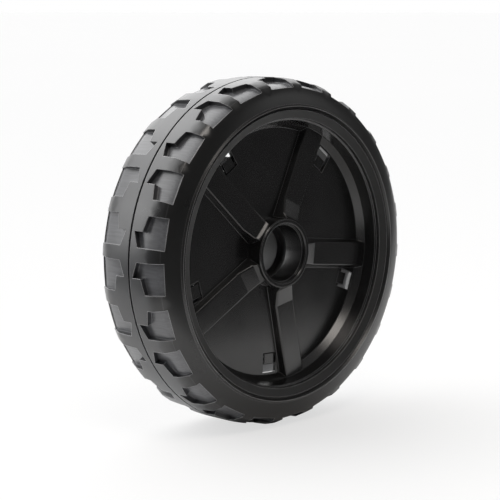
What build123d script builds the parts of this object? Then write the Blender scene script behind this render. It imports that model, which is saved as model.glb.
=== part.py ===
from build123d import *
import math
import os

# Lengths are millimetres. Sections are drawn as (radius, axial) pairs with the seam plane at axial 0
# and the machine side of the wheel at positive axial values. At the end the wheel is turned so that
# it spins about Y with its machine side toward -Y, and moved so that the origin is at mid width.

# Tread and sidewall
TREAD_R = 100.0
TREAD_T = 6.4
INNER_HALF_W = 27.6
OUTER_HALF_W = 32.0
SEAM_W = 1.4
SEAM_DEPTH = 1.8
SIDEWALL_H = 15.8
WALL = 3.0

# Shoulder between crown and sidewall, as shares of a half's width, drawn in a few straight facets
CROWN = 0.30
SHOULDER_W = 0.64
SHOULDER_DROP = 0.41
SHOULDER_POWER = 1.3
SHOULDER_SWEEP = 81.0
SHOULDER_FACETS = 3
HOLLOW = 0.6

# Shoulder pockets, drawn on the tread as (along the tread, away from the seam)
POCKET_PAIRS = 12
POCKET_ANGLES = (18.3, 3.0)
POCKET_HALF_LEN = 8.7
POCKET_LONG_EDGE = (12.4, 9.9)
POCKET_TONGUE_EDGE = (3.5, 7.0)
POCKET_DEPTH = 3.1
# The floor falls gently to a bend, then faster to the foot of a low outer wall.
# Bend and foot lie at these shares of the half width.
POCKET_BEND = 0.68
POCKET_BEND_FALL = 0.9
POCKET_END = 0.82
POCKET_END_FALL = 3.0
POCKET_WALL_RUN = 1.45

# Rim, barrel and conical band of the machine-side half, each measured from the one before it
BEAD_HALF = 1.2
BEAD_RISE = 1.0
RIM_GROOVE_W = 0.9
RIM_GROOVE_D = 1.2
RIM_W = 6.8
RIM_FALL = 3.1
RIM_STEP = 0.6
RIM_STEP_D = 2.1
BARREL_INSET = 2.6
BAND_W = 3.2

# Disc and spokes
DISC_A = 11.0
DISC_T = 2.6
SPOKES = 5
SPOKE_ANGLE = -6.6
SPOKE_H = 3.9
SPOKE_TOP_W = 14.0
SPOKE_BASE_W = 17.2
SPOKE_RAMP_LEN = 10.8
SPOKE_RAMP_H = 2.3
SPOKE_FOOT = 1.4
SPOKE_EDGE_R = 1.2
SPOKE_CORE_W = 10.0
# Least share of a unit vector that counts as facing up, or as running along the spoke
NEARLY_ALL = 0.95

# Hub, from the axle bore outward
BORE_R = 13.5
SLEEVE_STEP = 2.7
RECESS_STEP = 0.9
HUB_WALL = 2.9
HUB_FAR_WALL = 4.7
HUB_RISE = 10.0
RECESS_D = 2.2
SLEEVE_A = 1.0
HUB_FAR_A = -22.0
HUB_EDGE = 0.5

# Windows, and the hooks that hold the halves together
WINDOW_OFFSET = -13.7
WINDOW_EDGE = 1.2
WINDOW_W = 10.7
WINDOW_LEN = 11.5
LEDGE = 2.1
LEDGE_T = 1.4
HOOK_W = 7.3
HOOK_T = 4.2
HOOK_GAP = 0.4
HOOK_SINK = 0.5

# Flange and flared dish of the outer half
FLANGE_T = 2.0
FLANGE_LAP = 2.9
DISH_STEP = 0.8
DISH_T = 2.6
SLOT_W = 22.0

# Radii and axial levels that follow from the sizes above
BEAD_R = TREAD_R - SIDEWALL_H
RIM_IN_R = BEAD_R - RIM_W
RIM_IN_A = INNER_HALF_W - RIM_FALL
STEP_A = RIM_IN_A - RIM_STEP_D
BARREL_R = RIM_IN_R - BARREL_INSET
BAND_IN_R = BARREL_R - BAND_W
BAND_A = DISC_A + SPOKE_H
SLEEVE_R = BORE_R + SLEEVE_STEP
RECESS_R = SLEEVE_R + RECESS_STEP
HUB_R = RECESS_R + HUB_WALL
HUB_FAR_R = BORE_R + HUB_FAR_WALL
HUB_A = DISC_A + HUB_RISE
RECESS_A = HUB_A - RECESS_D
WINDOW_OUT_R = BAND_IN_R - WINDOW_EDGE
WINDOW_IN_R = WINDOW_OUT_R - WINDOW_LEN
HOOK_IN_R = WINDOW_IN_R + LEDGE + HOOK_GAP
HOOK_OUT_R = HOOK_IN_R + HOOK_T
BARB_IN_R = WINDOW_IN_R + HOOK_GAP
FLANGE_IN_R = WINDOW_IN_R - FLANGE_LAP
DISH_IN_R = BAND_IN_R + DISH_STEP
DISC_BACK_A = DISC_A - DISC_T
LEDGE_A = DISC_BACK_A + LEDGE_T
FLANGE_BACK_A = DISC_BACK_A - FLANGE_T


def section(points):
    """Face of a closed (radius, axial) outline of straight runs, in a plane through the wheel axis."""
    return make_face(Plane.XZ * Polyline(*points, close=True))


def shoulder_points(half_w):
    """The round of the shoulder from the end of the flat crown to the start of the sidewall."""
    points = []
    for i in range(SHOULDER_FACETS + 1):
        turn = math.radians(SHOULDER_SWEEP * i / SHOULDER_FACETS)
        drop = SHOULDER_DROP * half_w * (1 - math.cos(turn)) ** SHOULDER_POWER
        points.append((TREAD_R - drop, half_w * (CROWN + SHOULDER_W * math.sin(turn))))
    return points


def half_section(half_w, seam_points, face_points):
    """Section of a half: seam edge, tread and shoulder, then the face given, then the hollow side."""
    hollow_r = TREAD_R - TREAD_T
    hollow = [
        (hollow_r - 2 * WALL, half_w - BEAD_RISE - WALL),
        (hollow_r, HOLLOW * half_w),
        (hollow_r, 0),
    ]
    return section([*seam_points, *shoulder_points(half_w), *face_points, *hollow])


def pocket_cutters(half_w):
    """Tools for the pockets of one half: pairs that mirror each other along the tread."""
    far = half_w + WALL
    floor_r = TREAD_R - POCKET_DEPTH
    above_r = TREAD_R + WALL
    end_r = floor_r - POCKET_END_FALL
    end_a = POCKET_END * half_w
    wedge = extrude(section([
        (floor_r, 0),
        (floor_r - POCKET_BEND_FALL, POCKET_BEND * half_w),
        (end_r, end_a),
        (above_r, end_a + POCKET_WALL_RUN * (above_r - end_r)),
        (above_r, 0),
    ]), POCKET_HALF_LEN, both=True)
    outline = [
        (-POCKET_HALF_LEN, far),
        (-POCKET_HALF_LEN, POCKET_LONG_EDGE[0]),
        (0, POCKET_LONG_EDGE[1]),
        (0, POCKET_TONGUE_EDGE[0]),
        (POCKET_HALF_LEN, POCKET_TONGUE_EDGE[1]),
        (POCKET_HALF_LEN, far),
    ]
    tangent = Plane(origin=(TREAD_R - TREAD_T, 0, 0), x_dir=(0, 1, 0), z_dir=(1, 0, 0))
    tools = []
    for way, start in zip((1, -1), POCKET_ANGLES):
        face = make_face(tangent * Polyline(*[(way * u, a) for u, a in outline], close=True))
        tool = extrude(face, 2 * TREAD_T, dir=(1, 0, 0)) & wedge
        for i in range(POCKET_PAIRS):
            tools.append(Rot(0, 0, start + i * 360 / POCKET_PAIRS) * tool)
    return tools


def radial_box(angle, r_in, r_out, width, a_low, a_high):
    """Box along a radius of the wheel, between two radii and two axial levels."""
    size = Box(r_out - r_in, width, a_high - a_low)
    return Rot(0, 0, angle) * Pos((r_in + r_out) / 2, 0, (a_low + a_high) / 2) * size


def spoke():
    """One spoke along X: drafted sides, level top, a ramp up to the hub and a small foot against it."""
    draft = math.degrees(math.atan((SPOKE_BASE_W - SPOKE_TOP_W) / 2 / SPOKE_H))
    root = Plane.XY.offset(DISC_A) * Rectangle(2 * TREAD_R, SPOKE_BASE_W)
    bar = extrude(root, SPOKE_H + SPOKE_RAMP_H + SPOKE_FOOT, taper=draft)
    inside_hub = (RECESS_R + HUB_R) / 2
    inside_barrel = BARREL_R + RIM_STEP
    ramp_a = BAND_A + SPOKE_RAMP_H
    side = section([
        (inside_hub, DISC_A),
        (inside_barrel, DISC_A),
        (inside_barrel, BAND_A),
        (HUB_R + SPOKE_RAMP_LEN, BAND_A),
        (HUB_R + SPOKE_FOOT, ramp_a),
        (HUB_R, ramp_a + SPOKE_FOOT),
        (inside_hub, ramp_a + SPOKE_FOOT),
    ])
    block = extrude(side, SPOKE_BASE_W, both=True) & bar
    tops = block.faces().filter_by(lambda face: face.normal_at().Z > NEARLY_ALL)
    long_edges = tops.edges().filter_by(lambda edge: abs(edge.tangent_at(0).X) > NEARLY_ALL)
    return fillet(long_edges.filter_by(lambda edge: edge.length > SPOKE_RAMP_LEN / 2), SPOKE_EDGE_R)


def inner_half():
    """Machine-side half: tread, sidewall, rim, barrel, disc with spokes and windows, and hub."""
    bead_foot = INNER_HALF_W - BEAD_RISE
    seam_points = [(TREAD_R - SEAM_DEPTH, 0), (TREAD_R, SEAM_W)]
    half = revolve(half_section(INNER_HALF_W, seam_points, [
        (BEAD_R + BEAD_HALF, bead_foot),
        (BEAD_R, INNER_HALF_W),
        (BEAD_R - BEAD_HALF, bead_foot - RIM_GROOVE_D),
        (BEAD_R - BEAD_HALF - RIM_GROOVE_W, bead_foot - RIM_GROOVE_D / 4),
        (RIM_IN_R, RIM_IN_A),
        (RIM_IN_R - RIM_STEP / 2, STEP_A),
        (RIM_IN_R - 2 * RIM_STEP, STEP_A - RIM_STEP),
        (BARREL_R, BAND_A),
        (BAND_IN_R, DISC_A),
        (HUB_R, DISC_A),
        (HUB_R, HUB_A - HUB_EDGE),
        (HUB_R - HUB_EDGE, HUB_A),
        (RECESS_R + HUB_EDGE, HUB_A),
        (RECESS_R, HUB_A - HUB_EDGE),
        (RECESS_R, RECESS_A),
        (SLEEVE_R, RECESS_A),
        (SLEEVE_R, SLEEVE_A),
        (BORE_R, SLEEVE_A),
        (BORE_R, HUB_FAR_A),
        (HUB_FAR_R, HUB_FAR_A),
        (HUB_FAR_R, DISC_BACK_A),
        (RIM_IN_R + WALL / 2, DISC_BACK_A),
        (RIM_IN_R + WALL / 2, bead_foot - WALL),
    ]), Axis.Z)
    bar = spoke()
    core = radial_box(0, HUB_R + WALL, FLANGE_IN_R - WALL, SPOKE_CORE_W, FLANGE_BACK_A, DISC_A)
    added = []
    removed = pocket_cutters(INNER_HALF_W)
    for i in range(SPOKES):
        turn = SPOKE_ANGLE + i * 360 / SPOKES
        added.append(Rot(0, 0, turn) * bar)
        removed.append(Rot(0, 0, turn) * core)
        window = turn + WINDOW_OFFSET
        removed.append(radial_box(window, WINDOW_IN_R, WINDOW_OUT_R, WINDOW_W, LEDGE_A, BAND_A))
        removed.append(radial_box(window, WINDOW_IN_R + LEDGE, WINDOW_OUT_R, WINDOW_W, FLANGE_BACK_A, BAND_A))
    return (half + added) - removed


def outer_half():
    """Far half: tread, sidewall, flared dish, and the flange whose hooks reach through the windows."""
    half = revolve(half_section(OUTER_HALF_W, [(TREAD_R, 0)], [
        (BEAD_R + BEAD_HALF, OUTER_HALF_W),
        (BEAD_R - BEAD_HALF, OUTER_HALF_W),
        (DISH_IN_R, -FLANGE_BACK_A),
        (FLANGE_IN_R, -FLANGE_BACK_A),
        (FLANGE_IN_R, -DISC_BACK_A),
        (DISH_IN_R + DISH_T, -DISC_BACK_A),
    ]), Axis.Z)
    half = mirror(half, about=Plane.XY)
    removed = [mirror(tool, about=Plane.XY) for tool in pocket_cutters(OUTER_HALF_W)]
    hook_top = DISC_A - HOOK_SINK
    slot_in_r = (HOOK_IN_R + HOOK_OUT_R) / 2
    added = []
    for i in range(SPOKES):
        window = SPOKE_ANGLE + WINDOW_OFFSET + i * 360 / SPOKES
        added.append(radial_box(window, HOOK_IN_R, HOOK_OUT_R, HOOK_W, FLANGE_BACK_A, hook_top))
        added.append(radial_box(window, BARB_IN_R, HOOK_IN_R, HOOK_W, LEDGE_A, hook_top))
        removed.append(radial_box(window, slot_in_r, DISH_IN_R, SLOT_W, FLANGE_BACK_A, DISC_BACK_A))
        removed.append(radial_box(window, WINDOW_IN_R, HOOK_IN_R, HOOK_W, FLANGE_BACK_A, DISC_BACK_A))
    return (half - removed) + added


def in_wheel_frame(piece):
    """Turn the axis onto Y, machine side toward -Y, with mid width at the origin."""
    to_mid = Pos(0, 0, (OUTER_HALF_W - INNER_HALF_W) / 2)
    return Rot(90, 0, 0) * to_mid * piece


os.makedirs("parts", exist_ok=True)
export_step(in_wheel_frame(inner_half()), "parts/inner_half.step")
export_step(in_wheel_frame(outer_half()), "parts/outer_half.step")
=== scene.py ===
import math

import bpy
from mathutils import Matrix, Vector


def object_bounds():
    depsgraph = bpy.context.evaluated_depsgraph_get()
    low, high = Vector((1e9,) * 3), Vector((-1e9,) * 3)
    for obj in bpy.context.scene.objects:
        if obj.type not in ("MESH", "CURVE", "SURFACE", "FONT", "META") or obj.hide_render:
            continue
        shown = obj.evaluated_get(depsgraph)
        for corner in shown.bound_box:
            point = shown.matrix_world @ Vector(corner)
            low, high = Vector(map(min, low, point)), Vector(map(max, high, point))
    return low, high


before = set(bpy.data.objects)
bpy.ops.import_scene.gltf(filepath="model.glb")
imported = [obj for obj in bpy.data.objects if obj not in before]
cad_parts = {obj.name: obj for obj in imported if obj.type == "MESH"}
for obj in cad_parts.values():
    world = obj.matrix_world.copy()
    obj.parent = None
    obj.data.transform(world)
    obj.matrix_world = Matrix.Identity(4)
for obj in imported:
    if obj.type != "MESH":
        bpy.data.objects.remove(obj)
cad_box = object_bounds()

# The wheel's axis runs along Y, and its two halves meet at the seam
TREAD_R = cad_box[1][2]
SEAM_Y = -0.0022
INNER_HALF_W = SEAM_Y - cad_box[0][1]
OUTER_HALF_W = cad_box[1][1] - SEAM_Y
ACROSS_AXIS = (1.0, 0.0, 1.0)

# Camera, found from the photograph's seam, rim and window circles: SCALE_PX is the tread's radius in
# pixels, PERSPECTIVE that radius as a share of the distance, and CENTRE_PX the seam circle's centre
CAMERA_TURN = math.radians(44.44)
CAMERA_TILT = math.radians(7.97)
SCALE_PX = 172.4
PERSPECTIVE = 0.10
CENTRE_PX = Vector((259.3, 249.8))
FRAME_PX = 500
SENSOR_MM = 36.0
VIEW_END = 100.0

# Zones of the wheel by distance from its axis and by depth, in metres. The disc's plastic gives way to
# the tread's between the first two
RIM_EDGE_R = 0.0755
TREAD_EDGE_R = 0.0785
RIM_FACE_R = (0.0772, 0.0822)
BORE_R = 0.0135
FLANGE_R = 0.060
FAR_DISH_R = 0.086
SHOULDER_R = 0.0875
DISC_BACK_Y = -0.008
# Share of a half's width over which the tread's grey, in part a painted sheen, fades over the shoulder into
# the black of the sidewall
TREAD_SHARE = (0.40, 0.80)
# Floors of the tread's pockets: depth, where they bend and end as shares of a half's width, and their fall
POCKET_DEPTH = 0.0031
POCKET_R = TREAD_R - POCKET_DEPTH
POCKET_BEND = 0.68
POCKET_END = 0.815
POCKET_FALL = 0.0009
# Heights above a pocket's floor at which the painted light on it ends and is full
POCKET_LIGHT_HEIGHT = (0.0006, 0.0002)

# Edges flatter than this are shaded as one round surface, with more leave on the tread's shoulder
ROUND_BELOW = math.radians(12.0)
ROUND_BELOW_SHOULDER = math.radians(38.0)
SAME_POINT = 1e-6
# Round that the shading gives to the sharper edges, and the reach within which an edge counts as open
EDGE_ROUND = 0.0006
EDGE_REACH = 0.003
EDGE_SAMPLES = 8
# Where the painted highlight on an edge starts and is full: by the cosine of its turn, and by how open it
# is
EDGE_TURN = (0.995, 0.92)
EDGE_OPEN = (0.60, 0.85)

# Plastic: roughness over the clouds, what the far side and the rim's face add to it, and colours
CLOUD_SCALE = 45.0
CLOUD_DETAIL = 3.0
CLOUD_SPAN = (0.3, 0.7)
DISC_ROUGH = (0.20, 0.26)
TREAD_ROUGH = (0.27, 0.33)
FAR_ROUGH_MORE = (0.42, 0.65)
RIM_ROUGH_MORE = 0.25
PLASTIC_SPECULAR = 0.9
DISC_TINTS = ((0.006, 0.006, 0.0062, 1.0), (0.010, 0.0098, 0.010, 1.0))
# Grey of the tread: a duller tone of its own, and in part a painted sheen
TREAD_GREY_AND_SHEEN_TINTS = ((0.024, 0.025, 0.028, 1.0), (0.031, 0.032, 0.035, 1.0))
# Painted light on the pocket floors, lighter than the lands
POCKET_LIGHT_TINTS = ((0.096, 0.098, 0.105, 1.0), (0.130, 0.132, 0.141, 1.0))
# Painted highlights on the sharp edges, dim on the disc and brighter on the tread
EDGE_HIGHLIGHT_TINTS = ((0.10, 0.10, 0.103, 1.0), (0.34, 0.34, 0.35, 1.0))
# Streaks like mould flow lines in the painted light on the pocket floors, drawn out along the axis, and the
# tread's fine grain
STREAK_STRETCH = (1.0, 0.06, 1.0)
STREAK_SCALE = 900.0
STREAK_SPAN = (0.35, 0.65)
GRAIN_SCALE = 1600.0
GRAIN_STRENGTH = 0.02
GRAIN_HEIGHT = 0.0002
FINE_DETAIL = 2.0

# The floor ends in front and on the left, outside the camera's view, so that those sides look into the dark
FLOOR_Z = cad_box[0][2]
FLOOR_FRONT_Y = -0.21
FLOOR_LEFT_X = -0.27
FLOOR_FAR = 200.0
FLOOR_CLOUD_SCALE = 0.6
FLOOR_TINTS = ((0.90, 0.90, 0.90, 1.0), (0.93, 0.93, 0.93, 1.0))
FLOOR_ROUGH = 0.9
FLOOR_SPECULAR = 0.1
# Share of plain white that the camera sees in the floor, so that the shadow stays faint
FLOOR_WHITE = 0.65

# Room light as lobes: direction, the cosines at which it starts and is full, and its strength
ROOM_LIGHT = (
    ((-0.64, 0.74, 0.18), (0.96, 0.99), 1.9),
    ((0.20, 0.95, 0.20), (0.30, 0.90), 0.7),
    ((-0.42, 0.48, 0.72), (0.80, 0.95), 2.2),
    ((0.40, 0.66, 0.62), (0.80, 0.95), 1.6),
    ((0.00, 0.45, 0.88), (0.20, 0.90), 0.2),
)
FRONT_LIGHT = 0.09
BACKDROP_LIGHT = 1.0
WHITE = (1.0, 1.0, 1.0, 1.0)

# Softboxes: name, place, the point that they face, power in watts and colour
SOFTBOX_SIZE = 0.5
SOFTBOXES = (
    ("top_softbox", (-0.35, -0.55, 1.08), (0.0, 0.0, 0.0), 3.6, (1.0, 0.94, 0.88)),
    ("side_softbox", (0.83, -0.77, 0.45), (0.0, 0.0, 0.1), 0.35, (1.0, 1.0, 1.0)),
)


class Tree:
    """A node tree, with a short call for each kind of node that is used more than once."""

    def __init__(self, node_tree):
        self.nodes = node_tree.nodes
        self.links = node_tree.links

    def add(self, kind):
        """A new node of a kind."""
        return self.nodes.new(kind)

    def feed(self, socket, value):
        """Give an input a value, or a link where the value is another node's socket."""
        if isinstance(value, bpy.types.NodeSocket):
            self.links.new(value, socket)
        else:
            socket.default_value = value

    def operate(self, kind, operation, values):
        """A Math or Vector Math node with its inputs."""
        node = self.add(kind)
        node.operation = operation
        for socket, value in zip(node.inputs, values):
            self.feed(socket, value)
        return node

    def math(self, operation, *values):
        """Result of a Math node."""
        return self.operate("ShaderNodeMath", operation, values).outputs["Value"]

    def vector(self, operation, *values):
        """Result of a Vector Math node that gives a vector."""
        return self.operate("ShaderNodeVectorMath", operation, values).outputs["Vector"]

    def measure(self, operation, *values):
        """Result of a Vector Math node that gives a number."""
        return self.operate("ShaderNodeVectorMath", operation, values).outputs["Value"]

    def product(self, first, *others):
        """Product of several sockets or numbers."""
        for other in others:
            first = self.math("MULTIPLY", first, other)
        return first

    def map_range(self, value, span, result=(0.0, 1.0)):
        """Clamped linear map of a socket from one span to another."""
        node = self.add("ShaderNodeMapRange")
        names = ("Value", "From Min", "From Max", "To Min", "To Max")
        for name, number in zip(names, (value, *span, *result)):
            self.feed(node.inputs[name], number)
        return node.outputs["Result"]

    def mix_colour(self, factor, a, b):
        """Mix of two colours, each a socket or a value."""
        node = self.add("ShaderNodeMix")
        node.data_type = "RGBA"
        self.feed(node.inputs["Factor"], factor)
        for name, colour in (("A", a), ("B", b)):
            self.feed(next(s for s in node.inputs if s.name == name and s.type == "RGBA"), colour)
        return next(s for s in node.outputs if s.type == "RGBA")

    def noise(self, where, scale, detail):
        """Noise texture over a vector."""
        node = self.add("ShaderNodeTexNoise")
        for name, value in (("Vector", where), ("Scale", scale), ("Detail", detail)):
            self.feed(node.inputs[name], value)
        return node.outputs["Fac"]

    def axis_distance(self, where):
        """Distance of a point from the wheel's axis."""
        return self.measure("LENGTH", self.vector("MULTIPLY", where, ACROSS_AXIS))

    def camera_ray(self):
        """1 for what the camera sees directly, 0 for light and reflections."""
        return self.add("ShaderNodeLightPath").outputs["Is Camera Ray"]


def new_material(name):
    """A node material with its tree and its Principled shader."""
    material = bpy.data.materials.new(name)
    material.use_nodes = True
    tree = Tree(material.node_tree)
    return material, tree, tree.nodes["Principled BSDF"]


def plastic_roughness(tree, radius, depth, outward, cloud):
    """Roughness: satin on the disc, duller on the tread, on the rim's face and behind the disc."""
    disc = tree.map_range(cloud, CLOUD_SPAN, DISC_ROUGH)
    tread = tree.map_range(cloud, CLOUD_SPAN, TREAD_ROUGH)
    tread_more = tree.product(tree.math("SUBTRACT", tread, disc), outward)
    in_dish = tree.math("LESS_THAN", radius, FAR_DISH_R)
    behind_disc = tree.math("GREATER_THAN", depth, DISC_BACK_Y)
    far_more = tree.map_range(radius, (BORE_R, FLANGE_R), FAR_ROUGH_MORE)
    past_barrel = tree.math("GREATER_THAN", radius, RIM_FACE_R[0])
    before_bead = tree.math("LESS_THAN", radius, RIM_FACE_R[1])
    rough = tree.math("ADD", disc, tread_more)
    rough = tree.math("ADD", rough, tree.product(in_dish, behind_disc, far_more))
    return tree.math("ADD", rough, tree.product(past_barrel, before_bead, RIM_ROUGH_MORE))


def painted_edge_highlights(tree, rounded):
    """Mask of the painted highlights on the sharp outer edges, where the rounded normal leaves the face's
    own and the air is open.
    """
    turn = tree.measure("DOT_PRODUCT", rounded, tree.add("ShaderNodeNewGeometry").outputs["Normal"])
    air = tree.add("ShaderNodeAmbientOcclusion")
    air.samples = EDGE_SAMPLES
    air.inputs["Distance"].default_value = EDGE_REACH
    return tree.product(tree.map_range(turn, EDGE_TURN), tree.map_range(air.outputs["AO"], EDGE_OPEN))


def width_share(tree, depth):
    """Distance from the seam as a share of the half's width, on either half."""
    from_seam = tree.math("SUBTRACT", depth, SEAM_Y)
    near = tree.math("DIVIDE", from_seam, -INNER_HALF_W)
    far = tree.math("DIVIDE", from_seam, OUTER_HALF_W)
    return tree.math("MAXIMUM", near, far)


def pocket_floors(tree, radius, share):
    """Mask of the floors of the tread's pockets, which fall toward the sidewalls."""
    fall = tree.map_range(share, (POCKET_BEND, POCKET_END), (0.0, POCKET_FALL))
    height = tree.math("SUBTRACT", tree.math("ADD", radius, fall), POCKET_R)
    before_end = tree.math("LESS_THAN", share, POCKET_END)
    on_shoulder = tree.math("GREATER_THAN", radius, SHOULDER_R)
    return tree.product(tree.map_range(height, POCKET_LIGHT_HEIGHT), before_end, on_shoulder)


def plastic_colour(tree, where, radius, depth, outward, cloud, rounded):
    """Colour: black, with a grey tread that is in part a painted sheen, painted light on the floors of its
    pockets and painted highlights on the sharp edges.
    """
    share = width_share(tree, depth)
    # Tread's grey, in part a painted sheen, fading out over the shoulder
    tread_grey_and_sheen = tree.product(outward, tree.map_range(share, TREAD_SHARE, (1.0, 0.0)))
    disc_tint = tree.mix_colour(cloud, *DISC_TINTS)
    tread_grey_and_sheen_tint = tree.mix_colour(cloud, *TREAD_GREY_AND_SHEEN_TINTS)
    tread_and_disc = tree.mix_colour(tread_grey_and_sheen, disc_tint, tread_grey_and_sheen_tint)

    # Painted light on the pocket floors, with streaks like mould flow lines
    drawn_out = tree.vector("MULTIPLY", where, STREAK_STRETCH)
    streaks = tree.map_range(tree.noise(drawn_out, STREAK_SCALE, FINE_DETAIL), STREAK_SPAN)
    lit_floor = tree.mix_colour(streaks, *POCKET_LIGHT_TINTS)
    with_lit_floors = tree.mix_colour(pocket_floors(tree, radius, share), tread_and_disc, lit_floor)

    # Painted highlights on the sharp outer edges
    edge_highlight = tree.mix_colour(outward, *EDGE_HIGHLIGHT_TINTS)
    return tree.mix_colour(painted_edge_highlights(tree, rounded), with_lit_floors, edge_highlight)


def black_plastic():
    """Moulded black plastic for both halves, with zones by distance from the axis and by depth."""
    material, tree, shader = new_material("black_plastic")
    where = tree.add("ShaderNodeTexCoord").outputs["Object"]
    split = tree.add("ShaderNodeSeparateXYZ")
    tree.feed(split.inputs["Vector"], where)
    depth = split.outputs["Y"]
    radius = tree.axis_distance(where)
    outward = tree.map_range(radius, (RIM_EDGE_R, TREAD_EDGE_R))
    cloud = tree.noise(where, CLOUD_SCALE, CLOUD_DETAIL)

    edge = tree.add("ShaderNodeBevel")
    edge.samples = EDGE_SAMPLES
    edge.inputs["Radius"].default_value = EDGE_ROUND
    rounded = edge.outputs["Normal"]
    bump = tree.add("ShaderNodeBump")
    bump.inputs["Strength"].default_value = GRAIN_STRENGTH
    bump.inputs["Distance"].default_value = GRAIN_HEIGHT
    tree.feed(bump.inputs["Height"], tree.product(tree.noise(where, GRAIN_SCALE, FINE_DETAIL), outward))
    tree.feed(bump.inputs["Normal"], rounded)

    colour = plastic_colour(tree, where, radius, depth, outward, cloud, rounded)
    tree.feed(shader.inputs["Base Color"], colour)
    tree.feed(shader.inputs["Roughness"], plastic_roughness(tree, radius, depth, outward, cloud))
    tree.feed(shader.inputs["Normal"], bump.outputs["Normal"])
    shader.inputs["Specular IOR Level"].default_value = PLASTIC_SPECULAR
    return material


def round_shading():
    """Geometry nodes that shade across flat edges and keep the sharper ones, without moving a point."""
    group = bpy.data.node_groups.new("round_shading", "GeometryNodeTree")
    for way in ("INPUT", "OUTPUT"):
        group.interface.new_socket("Geometry", in_out=way, socket_type="NodeSocketGeometry")
    tree = Tree(group)
    plain = tree.add("GeometryNodeRemoveAttribute")
    plain.inputs["Name"].default_value = "custom_normal"
    joined = tree.add("GeometryNodeMergeByDistance")
    joined.inputs["Distance"].default_value = SAME_POINT
    faces = tree.add("GeometryNodeSetShadeSmooth")
    edges = tree.add("GeometryNodeSetShadeSmooth")
    edges.domain = "EDGE"
    chain = [tree.add("NodeGroupInput"), plain, joined, faces, edges, tree.add("NodeGroupOutput")]
    for before, after in zip(chain, chain[1:]):
        tree.feed(after.inputs[0], before.outputs[0])

    radius = tree.axis_distance(tree.add("GeometryNodeInputPosition").outputs["Position"])
    on_shoulder = tree.math("GREATER_THAN", radius, SHOULDER_R)
    more = tree.product(on_shoulder, ROUND_BELOW_SHOULDER - ROUND_BELOW)
    limit = tree.math("ADD", more, ROUND_BELOW)
    angle = tree.add("GeometryNodeInputMeshEdgeAngle").outputs["Unsigned Angle"]
    tree.feed(edges.inputs["Shade Smooth"], tree.math("LESS_THAN", angle, limit))
    return group


def floor_material():
    """Pale studio floor, part of which is plain white for the camera."""
    material, tree, shader = new_material("floor")
    where = tree.add("ShaderNodeTexCoord").outputs["Object"]
    cloud = tree.noise(where, FLOOR_CLOUD_SCALE, FINE_DETAIL)
    tree.feed(shader.inputs["Base Color"], tree.mix_colour(cloud, *FLOOR_TINTS))
    shader.inputs["Roughness"].default_value = FLOOR_ROUGH
    shader.inputs["Specular IOR Level"].default_value = FLOOR_SPECULAR
    white_share = tree.product(tree.camera_ray(), FLOOR_WHITE)
    white = tree.add("ShaderNodeEmission")
    mix = tree.add("ShaderNodeMixShader")
    for socket, value in zip(mix.inputs, (white_share, shader.outputs[0], white.outputs[0])):
        tree.feed(socket, value)
    tree.feed(tree.nodes["Material Output"].inputs["Surface"], mix.outputs[0])
    return material


def add_floor():
    """Large floor under the tread, from its front and left ends to far behind and to the right."""
    front = [(FLOOR_LEFT_X, FLOOR_FRONT_Y), (FLOOR_FAR, FLOOR_FRONT_Y)]
    corners = front + [(FLOOR_FAR, FLOOR_FAR), (FLOOR_LEFT_X, FLOOR_FAR)]
    mesh = bpy.data.meshes.new("floor")
    mesh.from_pydata([(x, y, FLOOR_Z) for x, y in corners], [], [range(len(corners))])
    floor = bpy.data.objects.new("floor", mesh)
    bpy.context.collection.objects.link(floor)
    floor.data.materials.append(floor_material())


def add_camera():
    """Camera at the photograph's angle and distance."""
    right = Vector((math.cos(CAMERA_TURN), -math.sin(CAMERA_TURN), 0.0))
    level = Vector((math.sin(CAMERA_TURN), math.cos(CAMERA_TURN), 0.0))
    vertical = Vector((0.0, 0.0, 1.0))
    forward = math.cos(CAMERA_TILT) * level - math.sin(CAMERA_TILT) * vertical
    up = math.sin(CAMERA_TILT) * level + math.cos(CAMERA_TILT) * vertical
    offset = (CENTRE_PX - Vector((FRAME_PX / 2, FRAME_PX / 2))) / SCALE_PX
    place = Vector((0.0, SEAM_Y, 0.0))
    place += TREAD_R * (-forward / PERSPECTIVE - right * offset.x + up * offset.y)
    camera = bpy.data.objects.new("camera", bpy.data.cameras.new("camera"))
    camera.data.lens = SENSOR_MM * SCALE_PX / PERSPECTIVE / FRAME_PX
    camera.data.sensor_width = SENSOR_MM
    camera.data.clip_end = VIEW_END
    turn = Matrix((right, up, -forward)).transposed().to_4x4()
    camera.matrix_world = Matrix.Translation(place) @ turn
    bpy.context.collection.objects.link(camera)
    bpy.context.scene.camera = camera


def add_softbox(name, place, target, power, colour):
    """Square area light that faces a point."""
    light = bpy.data.lights.new(name, "AREA")
    light.size = SOFTBOX_SIZE
    light.energy = power
    light.color = colour
    lamp = bpy.data.objects.new(name, light)
    lamp.location = place
    lamp.rotation_euler = (Vector(target) - Vector(place)).to_track_quat("-Z", "Y").to_euler()
    bpy.context.collection.objects.link(lamp)


def set_world():
    """White backdrop for the camera; for the object, a room that is bright behind and dark in front."""
    world = bpy.data.worlds.new("studio")
    bpy.context.scene.world = world
    world.use_nodes = True
    tree = Tree(world.node_tree)
    direction = tree.add("ShaderNodeTexCoord").outputs["Generated"]
    glow = FRONT_LIGHT
    for toward, span, strength in ROOM_LIGHT:
        along = tree.measure("DOT_PRODUCT", direction, Vector(toward).normalized())
        glow = tree.math("ADD", tree.map_range(along, span, (0.0, strength)), glow)
    level = tree.add("ShaderNodeMix")
    for name, value in (("Factor", tree.camera_ray()), ("A", glow), ("B", BACKDROP_LIGHT)):
        tree.feed(level.inputs[name], value)
    background = tree.nodes["Background"]
    background.inputs["Color"].default_value = WHITE
    tree.feed(background.inputs["Strength"], level.outputs["Result"])


plastic = black_plastic()
shading = round_shading()
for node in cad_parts.values():
    node.data.materials.clear()
    node.data.materials.append(plastic)
    node.modifiers.new("round_shading", "NODES").node_group = shading

add_floor()
set_world()
for softbox in SOFTBOXES:
    add_softbox(*softbox)
add_camera()
bpy.context.scene.view_settings.view_transform = "Standard"
